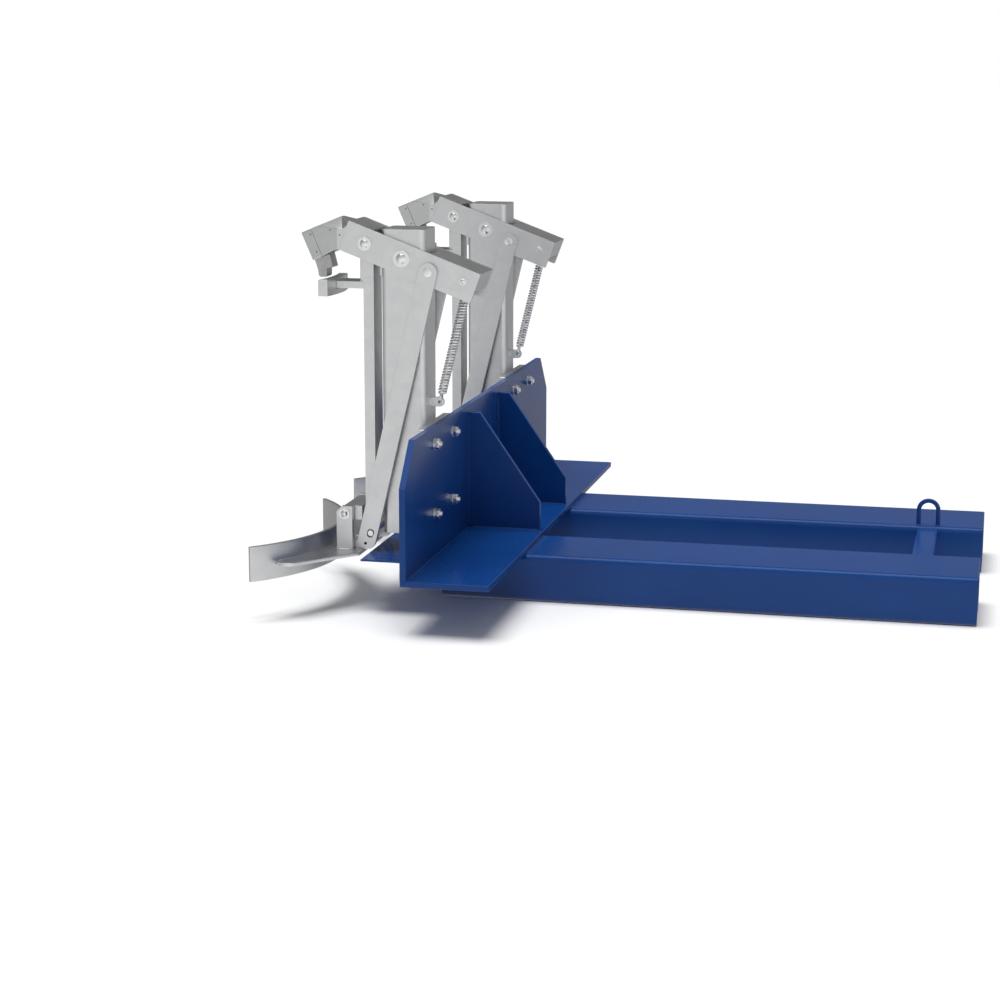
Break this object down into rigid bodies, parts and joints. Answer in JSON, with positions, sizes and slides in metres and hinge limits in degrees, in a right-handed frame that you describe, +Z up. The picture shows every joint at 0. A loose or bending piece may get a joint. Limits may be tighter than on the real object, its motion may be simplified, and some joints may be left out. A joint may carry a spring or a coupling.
{
  "type": "drum lifting clamp",
  "caption": "Fork-mounted drum lifting clamp whose hooked jaws grip drum rims while curved saddles steady the drums, on a blue frame with fork pockets.",
  "frame": {"origin": "under the middle of the clamp, level with the undersides of the fork pockets", "axes": "+X to the rear, where the forks leave the pockets; +Y to the right head as seen from behind the truck facing forwards; +Z up"},
  "size_m": [1.1856, 1.116, 0.6625],
  "materials": {
    "blue_paint": "glossy",
    "galvanised_steel": "satin, bright zinc",
    "bright_fastener": "bright zinc",
    "tool_steel": "satin",
    "spring_steel": "satin"
  },
  "bodies": {
    "frame": {"left_fork_pocket": "blue_paint", "right_fork_pocket": "blue_paint", "base_plate": "blue_paint", "bolt_plate": "blue_paint", "left_gusset": "blue_paint", "right_gusset": "blue_paint", "front_shelf": "blue_paint", "cross_bar": "blue_paint", "chain_ring": "blue_paint", "left_column": "galvanised_steel", "left_column_lugs": "galvanised_steel", "left_flange": "galvanised_steel", "left_bolts": "bright_fastener", "left_spring": "spring_steel", "right_column": "galvanised_steel", "right_column_lugs": "galvanised_steel", "right_flange": "galvanised_steel", "right_bolts": "bright_fastener", "right_spring": "spring_steel"},
    "left_beam": {"left_outer_cheek": "galvanised_steel", "left_inner_cheek": "galvanised_steel", "left_beam_webs": "galvanised_steel", "left_beak": "galvanised_steel", "left_tooth": "tool_steel", "left_hinge_pin": "bright_fastener", "left_nose_pin": "bright_fastener", "left_link_pins": "bright_fastener", "left_spring_pin": "bright_fastener"},
    "left_front_bar": {"left_front_bar": "galvanised_steel", "left_jaw_arm": "galvanised_steel", "left_jaw_pad": "galvanised_steel", "left_cross_block": "galvanised_steel"},
    "left_links": {"left_outer_link": "galvanised_steel", "left_inner_link": "galvanised_steel", "left_link_screws": "tool_steel"},
    "left_saddle": {"left_saddle_band": "galvanised_steel", "left_saddle_rib": "galvanised_steel", "left_saddle_lugs": "galvanised_steel", "left_saddle_pins": "bright_fastener"},
    "right_beam": {"right_outer_cheek": "galvanised_steel", "right_inner_cheek": "galvanised_steel", "right_beam_webs": "galvanised_steel", "right_beak": "galvanised_steel", "right_tooth": "tool_steel", "right_hinge_pin": "bright_fastener", "right_nose_pin": "bright_fastener", "right_link_pins": "bright_fastener", "right_spring_pin": "bright_fastener"},
    "right_front_bar": {"right_front_bar": "galvanised_steel", "right_jaw_arm": "galvanised_steel", "right_jaw_pad": "galvanised_steel", "right_cross_block": "galvanised_steel"},
    "right_links": {"right_outer_link": "galvanised_steel", "right_inner_link": "galvanised_steel", "right_link_screws": "tool_steel"},
    "right_saddle": {"right_saddle_band": "galvanised_steel", "right_saddle_rib": "galvanised_steel", "right_saddle_lugs": "galvanised_steel", "right_saddle_pins": "bright_fastener"}
  },
  "joints": [
    {"name": "left_beam_hinge", "type": "hinge", "parent": "frame", "child": "left_beam", "pos_m": [-0.36968, -0.306, 0.5935], "axis": [0, 1, 0], "range_deg": [0, 8], "deforming": ["left_spring"]},
    {"name": "left_bar_hinge", "type": "hinge", "parent": "left_beam", "child": "left_front_bar", "pos_m": [-0.43338, -0.306, 0.61731], "axis": [0, 1, 0], "range_deg": [-8, 0]},
    {"name": "left_link_hinge", "type": "hinge", "parent": "left_beam", "child": "left_links", "pos_m": [-0.32331, -0.306, 0.57189], "axis": [0, 1, 0], "range_deg": [-7.24, 0]},
    {"name": "left_saddle_hinge", "type": "hinge", "parent": "left_front_bar", "child": "left_saddle", "pos_m": [-0.47018, -0.306, 0.1575], "axis": [0, 1, 0], "range_deg": [0, 19.6]},
    {"name": "right_beam_hinge", "type": "hinge", "parent": "frame", "child": "right_beam", "pos_m": [-0.36968, 0.306, 0.5935], "axis": [0, 1, 0], "range_deg": [0, 8], "deforming": ["right_spring"]},
    {"name": "right_bar_hinge", "type": "hinge", "parent": "right_beam", "child": "right_front_bar", "pos_m": [-0.43338, 0.306, 0.61731], "axis": [0, 1, 0], "range_deg": [-8, 0]},
    {"name": "right_link_hinge", "type": "hinge", "parent": "right_beam", "child": "right_links", "pos_m": [-0.32331, 0.306, 0.57189], "axis": [0, 1, 0], "range_deg": [-7.24, 0]},
    {"name": "right_saddle_hinge", "type": "hinge", "parent": "right_front_bar", "child": "right_saddle", "pos_m": [-0.47018, 0.306, 0.1575], "axis": [0, 1, 0], "range_deg": [0, 19.6]}
  ],
  "couplings": [
    {"joint": "left_bar_hinge", "follows": "left_beam_hinge", "ratio": -1},
    {"joint": "left_link_hinge", "follows": "left_beam_hinge", "ratio": -0.905},
    {"joint": "left_saddle_hinge", "follows": "left_beam_hinge", "ratio": 2.45},
    {"joint": "right_bar_hinge", "follows": "right_beam_hinge", "ratio": -1},
    {"joint": "right_link_hinge", "follows": "right_beam_hinge", "ratio": -0.905},
    {"joint": "right_saddle_hinge", "follows": "right_beam_hinge", "ratio": 2.45}
  ]
}
